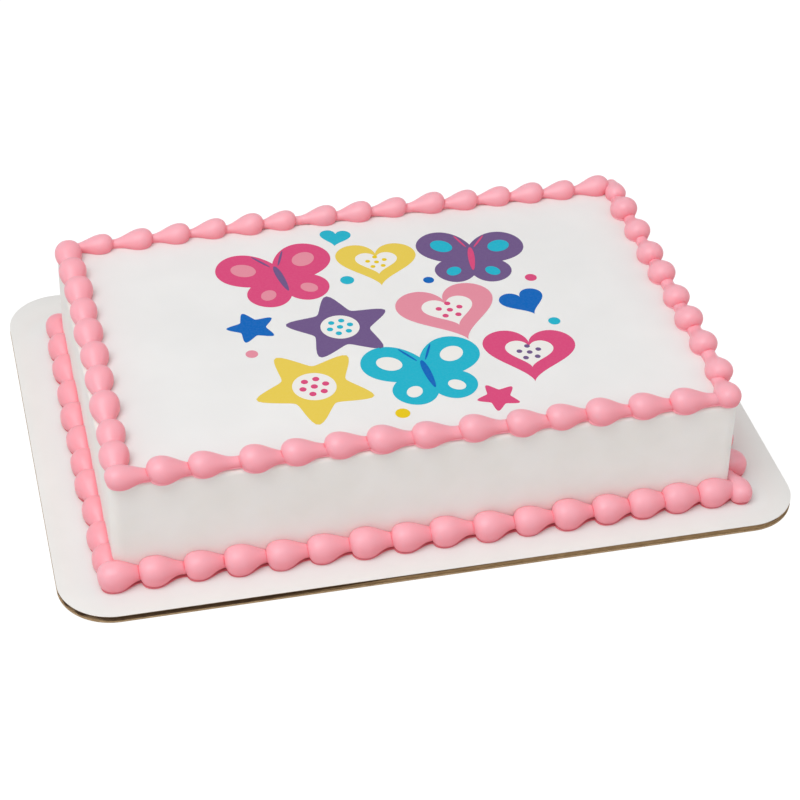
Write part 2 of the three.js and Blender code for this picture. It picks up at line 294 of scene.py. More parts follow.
# The pink icing's colours hold painted light and shade: a lit and a shaded pink, a painted deep pink for
# its creases, and painted shade where it meets the wall and the board.
SHADED_PINK = linear(253, 149, 161)
LIT_PINK = linear(255, 181, 193)
CREASE_SHADE_PINK = linear(249, 114, 127)
WALL_SHADE_PINK = linear(250, 146, 158)
BOARD_SHADE_PINK = linear(238, 126, 136)
WHITE_ICING = (linear(243, 239, 234), linear(247, 243, 239))
SHEET_WHITE = (linear(241, 240, 238), linear(244, 243, 241))
CARD_WHITE = (linear(234, 233, 230), linear(237, 236, 233))
# A cooler white painted on the board round the cake, which cancels the pink light bounced from the beads.
CARD_BOUNCE_CANCEL = linear(234, 241, 239)
CARD_RIM = linear(150, 122, 92)
KRAFT = (linear(158, 128, 92), linear(192, 162, 124))
# The open flutes' dark brown is painted shade inside them; the crushed flutes show the card's own brown.
OPEN_FLUTE_SHADE = (linear(70, 48, 26), linear(100, 74, 44))
CRUSHED_FLUTES = (linear(131, 100, 61), linear(164, 132, 90))
INKS = {
    "magenta": linear(220, 76, 126),
    "purple": linear(112, 88, 137),
    "teal": linear(30, 181, 206),
    "soft_yellow": linear(234, 206, 84),
    "rose": linear(230, 144, 162),
    "blue": linear(0, 102, 188),
    "bright_yellow": linear(233, 202, 18),
    "white": linear(240, 238, 234),
}

# How much of the sheet's white shows through where the ink is thin.
INK_THINNING = 0.012


# Meshes


def skin(grid, closed_rows=False):
    """Corners and blocks of faces of a surface whose grid rows are rings of points. The rows follow
    each other along the shape, each ring joins its own end to its start, and the first and last ring
    are closed by a fan round their middle point, or joined to each other where closed_rows says so."""
    rows, columns, _ = grid.shape
    index = np.arange(rows * columns).reshape(rows, columns)
    if closed_rows:
        index = np.concatenate([index, index[:1]])
    beside = np.roll(index, -1, axis=1)
    quads = np.stack([index[:-1], beside[:-1], beside[1:], index[1:]], axis=-1).reshape(-1, 4)
    corners = grid.reshape(-1, 3)
    if closed_rows:
        return corners, [quads]
    middles = grid[[0, -1]].mean(axis=1)
    low = np.full(columns, rows * columns)
    fan_low = np.stack([low, beside[0], index[0]], axis=-1)
    fan_high = np.stack([low + 1, index[-1], beside[-1]], axis=-1)
    return np.concatenate([corners, middles]), [quads, fan_low, fan_high]


def with_height(flat, heights):
    """Points in space from flat ones and their heights, which may be one for each row."""
    return np.concatenate([flat, np.broadcast_to(heights, flat.shape[:2])[..., None]], axis=2)


def make_piece(name, parts, crease_angle=180):
    """One object from several closed skins, given in millimetres. Edges sharper than the crease angle
    are shaded as creases."""
    corners = []
    faces = []
    first = 0
    for part_corners, blocks in parts:
        for block in blocks:
            faces += (first + block).tolist()
        corners.append(part_corners)
        first += len(part_corners)
    mesh = bpy.data.meshes.new(name)
    mesh.from_pydata(np.concatenate(corners) * MM, [], faces)
    mesh.update()
    smooth(mesh, crease_angle)
    piece = bpy.data.objects.new(name, mesh)
    bpy.context.scene.collection.objects.link(piece)
    return piece


def smooth(mesh, crease_angle):
    """Shades the mesh as one smooth surface but for the edges that are sharper than the angle."""
    mesh.polygons.foreach_set("use_smooth", np.ones(len(mesh.polygons), bool))
    mesh.set_sharp_from_angle(angle=math.radians(crease_angle))
    mesh.update()


def combine(body, tool, operation):
    """Joins the tool to the body, or cuts it out, and keeps the result as the body's own mesh."""
    change = body.modifiers.new("combine", "BOOLEAN")
    change.operation = operation
    change.solver = "MANIFOLD"
    change.object = tool
    bpy.context.view_layer.update()
    evaluated = body.evaluated_get(bpy.context.evaluated_depsgraph_get())
    result = bpy.data.meshes.new_from_object(evaluated)
    body.modifiers.clear()
    body.data = result


def finish_piece(piece, finish, slot, *nodes):
    """Gives the piece its material, and lets it ride on the cake in place of the nodes. The slot is not
    used.
    """
    piece.data.materials.clear()
    piece.data.materials.append(finish)
    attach(piece, "root")
    if nodes:
        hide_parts(*nodes)


def rounded_outline(width, depth, radius, side_step=2.0, arc_steps=12):
    """A rounded rectangle about the origin, walked anticlockwise: quarter circles about four corner
    middles, joined by straight sides that are cut into even steps. Returns the points, the outward
    directions and the way walked up to each point."""
    arc = np.linspace(0, math.pi / 2, arc_steps + 1)
    points = []
    normals = []
    for corner, (sign_x, sign_y) in enumerate(((1, 1), (-1, 1), (-1, -1), (1, -1))):
        middle = np.array([sign_x * (width / 2 - radius), sign_y * (depth / 2 - radius)])
        directions = np.stack([np.cos(arc + corner * math.pi / 2), np.sin(arc + corner * math.pi / 2)], 1)
        points.append(middle + radius * directions)
        normals.append(directions)
        side = (width if corner % 2 == 0 else depth) - 2 * radius
        steps = max(2, round(side / side_step))
        share = np.arange(1, steps)[:, None] / steps
        along = np.array([-sign_y if corner % 2 == 0 else 0, sign_x if corner % 2 else 0])
        points.append(points[-1][-1] + share * side * along)
        normals.append(np.repeat(directions[-1:], steps - 1, axis=0))
    points = np.concatenate(points)
    normals = np.concatenate(normals)
    gaps = np.linalg.norm(np.diff(points, axis=0, append=points[:1]), axis=1)
    return points, normals, np.cumsum(gaps) - gaps


# Finishes


class Finish:
    """A procedural material. Its patterns are worked out from Object coordinates, so that they are
    fixed in the piece. Where light passes into it, depth says how many millimetres its red, green
    and blue go. Other sockets of the shader are named with an underscore for each space."""

    def __init__(self, name, roughness, subsurface=0.0, depth=(1, 1, 1), **sockets):
        self.material = bpy.data.materials.new(name)
        self.material.use_nodes = True
        self.nodes = self.material.node_tree.nodes
        self.links = self.material.node_tree.links
        self.shader = self.nodes["Principled BSDF"]
        self.place = self.nodes.new("ShaderNodeTexCoord").outputs["Object"]
        self.height = None
        self.set("Roughness", roughness)
        self.set("Subsurface Weight", subsurface)
        self.set("Subsurface Radius", depth)
        self.set("Subsurface Scale", MM)
        for socket, value in sockets.items():
            self.set(socket.replace("_", " "), value)

    def set(self, socket, value):
        """Fixes a value of the shader all over the surface."""
        self.shader.inputs[socket].default_value = value

    def vary(self, socket, value):
        """Lets a value of the shader follow a pattern."""
        self.links.new(value, self.shader.inputs[socket])

    def noise(self, size, detail=2, stretch=(1, 1, 1)):
        """Cloudy noise with features of about that size in millimetres, longer along an axis whose
        stretch is larger."""
        mapping = self.nodes.new("ShaderNodeMapping")
        mapping.inputs["Scale"].default_value = [1 / (size * MM * share) for share in stretch]
        texture = self.nodes.new("ShaderNodeTexNoise")
        texture.inputs["Scale"].default_value = 1
        texture.inputs["Detail"].default_value = detail
        self.links.new(self.place, mapping.inputs["Vector"])
        self.links.new(mapping.outputs["Vector"], texture.inputs["Vector"])
        return texture.outputs["Fac"]

    def spread(self, value, low, high, to_low=0, to_high=1):
        """The value's range from low to high, stretched to another range and held at its ends."""
        node = self.nodes.new("ShaderNodeMapRange")
        node.inputs["From Min"].default_value = low
        node.inputs["From Max"].default_value = high
        node.inputs["To Min"].default_value = to_low
        node.inputs["To Max"].default_value = to_high
        self.links.new(value, node.inputs["Value"])
        return node.outputs["Result"]

    def fading(self, way, start, end):
        """One up to the start of a way, zero from its end on, and even steps between. The way is in
        metres, and its start and end are given in millimetres."""
        return self.spread(way, start * MM, end * MM, to_low=1, to_high=0)

    def mix(self, share, start, end):
        """A colour between two others, which are fixed or come from a mix before."""
        node = self.nodes.new("ShaderNodeMix")
        node.data_type = "RGBA"
        self.links.new(share, node.inputs["Factor"])
        for socket, colour in (("A", start), ("B", end)):
            target = next(i for i in node.inputs if i.name == socket and i.type == "RGBA")
            if isinstance(colour, bpy.types.NodeSocket):
                self.links.new(colour, target)
            else:
                target.default_value = colour
        return next(o for o in node.outputs if o.type == "RGBA")

    def along(self, axis):
        """A point's X, Y or Z in metres. Z is its height over the board's underside."""
        split = self.nodes.new("ShaderNodeSeparateXYZ")
        self.links.new(self.place, split.inputs["Vector"])
        return split.outputs[axis]

    def vector(self, operation, value, other=None):
        """A node that works on a vector, with a fixed one where there is another."""
        node = self.nodes.new("ShaderNodeVectorMath")
        node.operation = operation
        self.links.new(value, node.inputs[0])
        if other is not None:
            node.inputs[1].default_value = other.tolist()
        return node

    def beyond(self, box):
        """How far a point is outside a box, given by its low and high corner, in metres: the length
        of |p - middle| - half the box's size, with what is below zero taken as zero."""
        low, high = np.array(box) * MM
        off_middle = self.vector("SUBTRACT", self.place, (low + high) / 2).outputs["Vector"]
        mirrored = self.vector("ABSOLUTE", off_middle).outputs["Vector"]
        past_side = self.vector("SUBTRACT", mirrored, (high - low) / 2).outputs["Vector"]
        outside = self.vector("MAXIMUM", past_side, np.zeros(3)).outputs["Vector"]
        return self.vector("LENGTH", outside).outputs["Value"]

    def facing(self, direction):
        """The surface's outward direction times another one: 1 where they agree, -1 where they are
        opposite."""
        normal = self.nodes.new("ShaderNodeTexCoord").outputs["Normal"]
        unit = np.array(direction) / np.linalg.norm(direction)
        return self.vector("DOT_PRODUCT", normal, unit).outputs["Value"]

    def hollow(self, low, high):
        """One in the creases of the piece's own shape, and zero where it is flat or bulges."""
        shape = self.nodes.new("ShaderNodeNewGeometry").outputs["Pointiness"]
        return self.spread(shape, low, high, to_low=1, to_high=0)

    def relief(self, depth, size, detail=2, stretch=(1, 1, 1)):
        """Fine relief of that depth in millimetres from noise of that size, on top of the relief
        given before."""
        bump = self.nodes.new("ShaderNodeBump")
        bump.inputs["Distance"].default_value = depth * MM
        self.links.new(self.noise(size, detail, stretch), bump.inputs["Height"])
        if self.height is not None:
            self.links.new(self.height, bump.inputs["Normal"])
        self.height = bump.outputs["Normal"]
        self.vary("Normal", self.height)


def pink_buttercream(name, lit_at):
    """Satin pink icing: light passes a little way into it. Its colour holds painted light and shade: it is
    paler on the side that faces the softboxes and deeper pink away from them, a painted deep pink in its
    creases, and painted shade where it meets the wall and the board."""
    finish = Finish(name, 0.33, subsurface=0.25, depth=(2, 0.6, 0.6))
    sheen = finish.spread(finish.facing(UPWARDS), -0.3, 0.5, to_low=0.05, to_high=0.5)
    finish.vary("Specular IOR Level", sheen)
    # Painted light and shade: paler on the side that faces the softboxes, deeper pink away from them.
    lit_share = finish.spread(finish.facing(LIT_SIDE), SHADED_AT, lit_at)
    smoothed = finish.mix(lit_share, SHADED_PINK, LIT_PINK)
    # Painted deep pink in the creases, where shade and bounced pink light gather.
    creased = finish.mix(finish.hollow(*CREASE_SHADE_STEPS), smoothed, CREASE_SHADE_PINK)
    # Painted shade where the beads meet the wall.
    wall_shade = finish.fading(finish.beyond(WALL_BOX), *WALL_SHADE_RANGE)
    deep = finish.mix(wall_shade, creased, WALL_SHADE_PINK)
    # Painted shade where the beads meet the board.
    board_shade = finish.fading(finish.along("Z"), *BOARD_SHADE_RANGE)
    finish.vary("Base Color", finish.mix(board_shade, deep, BOARD_SHADE_PINK))
    finish.vary("Roughness", finish.spread(finish.noise(2.2), 0.3, 0.7, to_low=0.28, to_high=0.36))
    finish.relief(0.05, size=3.5)
    finish.relief(0.008, size=0.35)
    return finish.material


def white_buttercream():
    """White icing smoothed with a warm spatula: faint level strokes and fine pores."""
    finish = Finish("white_buttercream", 0.5, subsurface=0.25, depth=(1.6, 1.4, 1.2))
    tint = finish.spread(finish.noise(26, detail=3), 0.35, 0.65)
    finish.vary("Base Color", finish.mix(tint, *WHITE_ICING))
    finish.vary("Roughness", finish.spread(finish.noise(6), 0.3, 0.7, to_low=0.45, to_high=0.56))
    finish.relief(0.06, size=7, stretch=(6, 6, 1))
    finish.relief(0.01, size=0.5)
    return finish.material


def icing_sheet():
    """The bare icing sheet: matt, almost white, with the grain of dry fondant."""
    finish = Finish("icing_sheet", 0.6, subsurface=0.2, depth=(1.2, 1.1, 1))
    tint = finish.spread(finish.noise(34), 0.35, 0.65)
    finish.vary("Base Color", finish.mix(tint, *SHEET_WHITE))
    finish.relief(0.05, size=12)
    finish.relief(0.008, size=0.6, detail=3)
    return finish.material


def food_ink(name):
    """A flat field of food ink, soaked a little unevenly into the icing sheet."""
    finish = Finish("ink_" + name, 0.6, Specular_IOR_Level=0.12)
    full = INKS[name]
    thin = [channel + (1 - channel) * INK_THINNING for channel in full[:3]] + [1.0]
    tint = finish.spread(finish.noise(1.1, detail=3), 0.4, 0.65)
    finish.vary("Base Color", finish.mix(tint, full, thin))
    finish.relief(0.008, size=0.6, detail=3)
    return finish.material


def white_liner():
    """Coated white card with the faint cloudiness of its fibres, and brown where its rim is cut. Round the
    cake it is painted a shade cooler, which cancels the pink light bounced from the beads."""
    finish = Finish("white_liner", 0.42)
    tint = finish.spread(finish.noise(20), 0.3, 0.7)
    clouded = finish.mix(tint, *CARD_WHITE)
    # Painted cooler tint round the cake, which cancels the pink light bounced from the beads.
    bounce_cancel = finish.fading(finish.beyond(WALL_BOX), *BOUNCE_CANCEL_RANGE)
    coated = finish.mix(bounce_cancel, clouded, CARD_BOUNCE_CANCEL)
    cut = finish.fading(finish.along("Z"), *CUT_RIM)
    finish.vary("Base Color", finish.mix(cut, coated, CARD_RIM))
    finish.relief(0.01, size=FLUTE_PITCH, detail=0, stretch=(30, 1, 1))
    finish.relief(0.003, size=0.4, detail=3)
    return finish.material


def card_fibres(finish):
    """The long pale and dark fibres of bare card."""
    return finish.spread(finish.noise(0.5, detail=4, stretch=(7, 2, 1)), 0.32, 0.68)


def kraft_liner():
    """Bare brown card."""
    finish = Finish("kraft_liner", 0.8)
    finish.vary("Base Color", finish.mix(card_fibres(finish), *KRAFT))
    finish.relief(0.03, size=0.3, detail=3, stretch=(5, 2, 1))
    return finish.material


def fluted_card():
    """The fluted sheet's card: painted shade darkens it inside the open flutes, and towards the right,
    where the cut has crushed it, it shows the card's own paler brown."""
    finish = Finish("kraft_flutes", 0.8)
    fibres = card_fibres(finish)
    # Painted shade inside the open flutes.
    open_flute_shade = finish.mix(fibres, *OPEN_FLUTE_SHADE)
    crushed_flutes = finish.mix(fibres, *CRUSHED_FLUTES)
    crushed = finish.spread(finish.along("X"), CRUSH_START * MM, CRUSH_END * MM)
    finish.vary("Base Color", finish.mix(crushed, open_flute_shade, crushed_flutes))
    return finish.material


# The cake board


def liner(low, high):
    """A flat liner: rings of a rounded rectangle that run out under it, round its edge and back in
    over it."""
    points, normals, _ = rounded_outline(BOARD_WIDTH, BOARD_DEPTH, BOARD_CORNER, side_step=6, arc_steps=24)
    far, near = LINER_INSETS
    rim = LINER_EDGE_ROUND
    bend = LINER_EDGE_BEND * rim
    insets = np.array([far, near, rim, bend, 0, 0, bend, rim, near, far])
    heights = np.array([low, low, low, low + bend, low + rim, high - rim, high - bend, high, high, high])
    return skin(with_height(points - insets[:, None, None] * normals, heights[:, None]))


def flutes():
    """The fluted sheet as a band behind the board's edge. Its middle surface is a sine wave across
    the flutes, which run almost along the front edge, and half the sheet's thickness lies on either
    side of it. Towards the right the cut has crushed it, so that it thickens by CRUSH_FILL e^-inset
    and fills the edge but for a thin gap."""
    points, normals, _ = rounded_outline(BOARD_WIDTH, BOARD_DEPTH, BOARD_CORNER, side_step=0.9,
                                         arc_steps=60)
    insets = np.linspace(FLUTE_INSET, FLUTE_BAND, FLUTE_ROWS)
    flat = points - insets[:, None, None] * normals
    high = BOARD_THICKNESS - LINER_THICKNESS
    middle = (LOWER_LINER + high) / 2
    swing = (high - LOWER_LINER - FLUTE_THICKNESS) / 2 - FLUTE_PLAY
    across = flat[..., 1] - FLUTE_DRIFT * flat[..., 0]
    wave = middle + swing * np.sin(TURN * across / FLUTE_PITCH + FLUTE_PHASE)
    crushed = np.clip((flat[..., 0] - CRUSH_START) / (CRUSH_END - CRUSH_START), 0, 1)
    half = (FLUTE_THICKNESS + CRUSH_FILL * crushed * np.exp(-insets[:, None])) / 2
    under = with_height(flat, np.maximum(wave - half, LOWER_LINER + CRUSH_GAP * crushed))
    over = with_height(flat, np.minimum(wave + half, high))
    return skin(np.concatenate([under[::-1], over]), closed_rows=True)


def build_board():
    """The two liners and the fluted sheet between them, which stand for the solid board."""
    upper = liner(BOARD_THICKNESS - LINER_THICKNESS, BOARD_THICKNESS)
    lower = liner(0, LOWER_LINER)
    for name, part, crease_angle, finish in (
        ("board_upper_liner", upper, EDGE_CREASE, white_liner()),
        ("board_flutes", flutes(), FLUTE_CREASE, fluted_card()),
        ("board_lower_liner", lower, EDGE_CREASE, kraft_liner()),
    ):
        finish_piece(make_piece(name, [part], crease_angle), finish, "white_card", "cake_board")


# The iced slab and its printed sheet


def wall_swell(way, height):
    """How far the wall swells out: a long sine wave of the way round the cake, and two shorter ones
    that lean as they rise. Each divisor is the millimetres that a radian takes."""
    long = WALL_LONG_SWELL * np.sin(way / 41 + 0.6)
    leaning = WALL_LEANING_SWELL * np.sin(way / 17 + height / 9)
    short = WALL_SHORT_SWELL * np.sin(way / 6.3 - height / 5)
    return long + leaning + short


def cake_skin():
    """Rings of a rounded rectangle that climb the wall, lean in by the flare and aside by the lean,
    turn over the rounded top edge as a quarter circle, and close in to the middle of the flat top."""
    points, normals, way = rounded_outline(CAKE_WIDTH, CAKE_DEPTH, CAKE_CORNER)
    climb = np.linspace(0, 1, WALL_RINGS)
    edge_foot = CAKE_TOP - CAKE_EDGE_ROUND
    arc = np.linspace(0, math.pi / 2, EDGE_RINGS)[1:]
    heights = np.concatenate([BOARD_THICKNESS + climb * (edge_foot - BOARD_THICKNESS),
                              edge_foot + CAKE_EDGE_ROUND * np.sin(arc)])
    outward = np.concatenate([CAKE_FLARE * (1 - climb), CAKE_EDGE_ROUND * (np.cos(arc) - 1)])
    shift = np.concatenate([CAKE_LEAN * (1 - climb), np.zeros(len(arc))])
    fade = np.clip((CAKE_TOP - heights) / CAKE_EDGE_ROUND, 0, 1)
    swell = wall_swell(way[None, :], heights[:, None]) * fade[:, None]
    flat = points + (outward[:, None] + swell)[..., None] * normals
    flat[..., 0] += shift[:, None]
    walls = with_height(flat, heights[:, None])
    shares = np.array(TOP_RING_SHARES)[:, None, None]
    top = walls[-1] * np.array([1, 1, 0]) * shares + np.array([0, 0, CAKE_TOP])
    return skin(np.concatenate([walls, top]) + np.array([CAKE_X, CAKE_Y, 0]))


def sheet_height(x, y):
    """The height of the printed sheet's upper face, which follows the icing's gentle unevenness: a
    long sine wave each way, one times the other, and a short one that runs aslant."""
    long = SHEET_LONG_SWELL * np.sin(x / 34 + 0.4) * np.cos(y / 27 - 0.3)
    short = SHEET_SHORT_SWELL * np.sin(x / 11 + y / 15)
    return SHEET_TOP - SHEET_SINK + long + short


def sheet_skin():
    """Rings of a rounded rectangle about the sheet's middle: out under the sheet, then in over it,
    shrinking to the middle point."""
    points, _, _ = rounded_outline(SHEET_WIDTH, SHEET_DEPTH, SHEET_CORNER, side_step=4, arc_steps=4)
    shares = np.linspace(1, SHEET_LAST_RING, SHEET_RINGS)[:, None, None]
    flat = points * shares + np.array([SHEET_X, SHEET_Y])
    upper = with_height(flat, sheet_height(flat[..., 0], flat[..., 1]))
    under = with_height(flat[:2], CAKE_TOP)
    return skin(np.concatenate([under[::-1], upper]))


# The print


def turned(points, degrees):
    """Flat points turned anticlockwise about the origin."""
    angle = math.radians(degrees)
    return points @ np.array([[math.cos(angle), math.sin(angle)], [-math.sin(angle), math.cos(angle)]])


def around():
    """The angles of an outline's points, in even steps once round."""
    return np.arange(INK_COLUMNS) / INK_COLUMNS * TURN


def oval(half_length, half_width, egg=0.0):
    """An ellipse whose far end is made wider, and its near end narrower, by the share egg."""
    angle = around()
    x = half_length * np.cos(angle)
    y = half_width * np.sin(angle) * (1 + egg * np.cos(angle))
    return np.stack([x, y], 1)


def dot(size):
    """A circle of that diameter."""
    return oval(size / 2, size / 2)


def heart(width):
    """The heart curve x = sin^3 t, y = (13 cos t - 5 cos 2t - 2 cos 3t - cos 4t) / 16, moved up to
    lie evenly about its middle."""
    t = -around()
    y = (13 * np.cos(t) - 5 * np.cos(2 * t) - 2 * np.cos(3 * t) - np.cos(4 * t)) / 16
    return np.stack([np.sin(t) ** 3, y + 0.12], 1) * width / 2


def star(width):
    """A five-pointed star with rounded points and hollows, in polar form: the distance is
    cos(a) / cos(b), where b = (2 asin(s cos 5t) + 3 pi) / 10, s is its sharpness and a is b where
    cos 5t is 1. It is turned by 18 degrees, so that one point is at the top."""
    angle = around()
    bend = (2 * np.arcsin(STAR_SHARPNESS * np.cos(5 * angle)) + 3 * math.pi) / 10
    tip = (2 * math.asin(STAR_SHARPNESS) + 3 * math.pi) / 10
    distance = math.cos(tip) / np.cos(bend) * width / 2
    return turned(np.stack([distance * np.cos(angle), distance * np.sin(angle)], 1), 18)


def field(outline, x, y, layer=1):
    """A thin closed field of ink on the sheet: rings that shrink from the outline to its middle, over
    the sheet by the layer's height, and one ring a little way down in it."""
    place = np.array([PRINT_X + x, PRINT_Y + y])
    flat = outline * np.linspace(1, INK_LAST_RING, INK_RINGS)[:, None, None] + place
    over = with_height(flat, sheet_height(flat[..., 0], flat[..., 1]) + layer * INK_LAYER)
    under = over[:1] - np.array([0, 0, layer * INK_LAYER + INK_BELOW])
    return skin(np.concatenate([under, over]))


def add_butterfly(inks, x, y, span, tilt, wing_ink, spot_ink, body_ink):
    """Two egg-shaped wings a side with a spot on each, a slender body and two feelers. Their sizes
    and places are shares of half the span, and fields that overlap lie on layers of their own."""
    unit = span / 2
    for side in (1, -1):
        for wing in WINGS:
            heading = (wing["points"] if side > 0 else 180 - wing["points"]) + tilt
            middle = turned(np.array([[wing["reach"] * unit, 0]]), heading)[0]
            shape = turned(oval(wing["length"] * unit, wing["breadth"] * unit, egg=0.22), heading)
            layer = wing["layer"] + (0.25 if side > 0 else 0)
            inks[wing_ink].append(field(shape, x + middle[0], y + middle[1], layer))
            mark = turned(np.array([[(wing["reach"] + 0.12) * unit, 0]]), heading)[0]
            spot = turned(oval(wing["spot"] * unit, wing["spot"] * 0.8 * unit), heading)
            inks[spot_ink].append(field(spot, x + mark[0], y + mark[1], 3))
        feeler = turned(np.array([[0.16 * side * unit, 0.52 * unit]]), tilt)[0]
        stroke = turned(oval(0.2 * unit, 0.018 * unit), 90 - 28 * side + tilt)
        inks[body_ink].append(field(stroke, x + feeler[0], y + feeler[1], 3.5))
    body = turned(oval(0.34 * unit, 0.055 * unit, egg=0.2), 90 + tilt)
    inks[body_ink].append(field(body, x, y, 4))


def add_dots(inks, ink, x, y, spread, size, count, turn):
    """Dots at even turns round a middle dot, on top of the other fields."""
    inks[ink].append(field(dot(size), x, y, 3))
    for i in range(count):
        angle = TURN * i / count + turn
        inks[ink].append(field(dot(size), x + spread * math.cos(angle), y + spread * math.sin(angle), 3))


def add_heart(inks, x, y, width, tilt, ink, dots):
    """A heart with a smaller white heart in it, and dots in that."""
    inks[ink].append(field(turned(heart(width), tilt), x, y))
    inks["white"].append(field(turned(heart(0.52 * width), tilt), x, y + 0.02 * width, 2))
    add_dots(inks, dots, x, y + 0.04 * width, 0.11 * width, 0.062 * width, count=5, turn=0.3)


def add_star(inks, x, y, width, tilt, ink, dots):
    """A star with a white round middle, and dots in that."""
    inks[ink].append(field(turned(star(width), tilt), x, y))
    inks["white"].append(field(dot(0.36 * width), x, y, 2))
    add_dots(inks, dots, x, y, 0.1 * width, 0.058 * width, count=6, turn=0.2)


def build_print():
    """The pattern's layout. Each figure has its middle, its width and its tilt in degrees, and the
    fields of one ink are one piece."""
    inks = {name: [] for name in INKS}
    add_butterfly(inks, -48, 43, 65, 8, "magenta", "rose", "purple")
    add_butterfly(inks, 50, 41, 60, -10, "purple", "teal", "magenta")
    add_butterfly(inks, 5, -48, 64, 4, "teal", "white", "blue")
    add_heart(inks, 2, 46, 41, -6, "soft_yellow", "bright_yellow")
    add_heart(inks, 28, -2, 50, 7, "rose", "magenta")
    add_heart(inks, 57, -43, 45, -10, "magenta", "purple")
    add_star(inks, -28, -3, 53, 3, "purple", "teal")
    add_star(inks, -50, -47, 58, 28, "soft_yellow", "magenta")
    inks["blue"].append(field(turned(star(25), 12), -70, 5))
    inks["blue"].append(field(turned(heart(23), 12), 66, -1))
    inks["teal"].append(field(turned(heart(16), -14), -14, 73))
    inks["magenta"].append(field(turned(star(21), 20), 33, -72))
    for ink, x, y, size in (("teal", -16, 35, 7), ("blue", 24, 27, 5.5), ("rose", -74, -16, 6),
                            ("teal", 76, -19, 6), ("bright_yellow", -14, -75, 7), ("magenta", 75, 19, 6)):
        inks[ink].append(field(dot(size), x, y))
    for name, fields in inks.items():
        finish_piece(make_piece("print_" + name, fields, INK_CREASE), food_ink(name), "icing_sheet")


# The piped borders


def sway_at(sway, part):
    """The parabola through the run's first, middle and last sway."""
    first, middle, last = sway
    rest = 1 - part
    return first * rest * (rest - part) + middle * 4 * part * rest + last * part * (part - rest)


def run_heads(run, run_index, form):
    """The way along the run, radius, place inward, height, neck and nose of each head, as the solids
    have them. A sine wave along the run adds to each value or is a share of it."""
    lengths = np.array(run["lengths"], float)
    along = np.cumsum(lengths) - lengths
    phase = WAVE_PER_BEAD * np.arange(len(lengths)) + WAVE_PER_RUN * run_index
    ends = np.ones(len(lengths))
    ends[0] = run["first"]
    ends[-1] = run["last"]
    radius = form["head"] * run["girth"] * ends * (1 + UNEVEN_RADIUS * np.sin(phase))
    inward = sway_at(run["sway"], along / along[-1]) + UNEVEN_SIDE * np.sin(SIDE_PACE * phase)
    inward = inward - np.array(run.get("outward", 0))
    rise = RISE_WITH_SIZE * (radius - form["head"])
    height = form["head_height"] + rise + UNEVEN_HEIGHT * np.sin(HEIGHT_PACE * phase)
    neck = form["neck"] * run["thin"] * (1 + UNEVEN_NECK * np.sin(NECK_PACE * phase))
    nose = np.ones(len(lengths))
    nose[0] = run["nose"]
    return np.stack([along, radius, inward, height, neck, nose], axis=1)


def head_share(form, way, rise):
    """How much of the head is left past its middle: half a cosine wave that falls from 1 to 0 where
    the neck is full, sooner on the underside (rise -1) than on top (rise 1)."""
    part = np.clip(way / (form["taper"] * (1 + form["droop"] * rise)), 0, 1)
    return (1 + np.cos(math.pi * part)) / 2


def bead(head, form, end):
    """One teardrop as rings at ways w past the middle of its head. At the angle a the ring's point is
    k r (cos a, s sin a) off the middle line, where s is the squash, r eases from head to neck by
    head_share, and k = (|cos a|^p + |sin a|^p)^(-1/p) squares the underside, and the upper side
    towards the cake's middle where the run has a ridge. A superellipse of the power b rounds its
    start, where w = -r cos(c)^(2/b) and the ring shrinks by sin(c)^(2/b)."""
    along, radius, inward, height, neck, nose = head
    cap = np.linspace(CAP_START, math.pi / 2, CAP_ROWS)
    before = np.cos(cap) ** (2 / form["blunt"])
    body = np.linspace(0, end - along, TAPER_ROWS + 1)[1:]
    way = np.concatenate([-nose * radius * before, body])[:, None]
    size = np.concatenate([np.sin(cap) ** (2 / form["blunt"]), np.ones(TAPER_ROWS - 1), [LAST_RING]])
    angle = np.arange(BEAD_COLUMNS) / BEAD_COLUMNS * TURN
    across = np.cos(angle)
    rise = np.sin(angle)
    middle = head_share(form, way, 0)
    share = head_share(form, way, rise)
    upper = np.where(across > 0, form["ridge"], 2)
    power = np.where(rise < 0, 2 + (form["underside"] - 2) * share, upper)
    square = (np.abs(across) ** power + np.abs(rise) ** power) ** (-1 / power)
    reach = SKIN * size[:, None] * square * (neck + (radius - neck) * share)
    ring_along = along + way - form["lean"] * share * reach * rise
    ring_in = inward + form["neck_inward"] * (1 - middle) + reach * across
    ring_up = form["neck_height"] + (height - form["neck_height"]) * middle + form["squash"] * reach * rise
    return skin(np.stack([ring_along, ring_in, ring_up], axis=2))


def base(head, form, spread, end):
    """The flat lobe of icing under one bead, with the bead's own formula at its own widths."""
    along, radius, inward, _, neck, nose = head
    low = (along, radius * spread["head"], inward, spread["height"], neck * spread["neck"], nose)
    flat = dict(form, squash=spread["squash"], neck_height=spread["height"], taper=spread["taper"],
                droop=0, lean=0, underside=2)
    return bead(low, flat, end)


def placed(part, run, ground):
    """The part turned and moved from its run's own frame to its place on the cake."""
    corners, faces = part
    flat = turned(corners[:, :2], run["turn"]) + np.array(run["start"])
    return np.concatenate([flat, corners[:, 2:] + ground], axis=1), faces


def change(piece, parts, operation):
    """Joins closed skins that don't meet each other to the piece, or cuts them out of it."""
    tool = make_piece("tool", parts)
    combine(piece, tool, operation)
    bpy.data.objects.remove(tool)


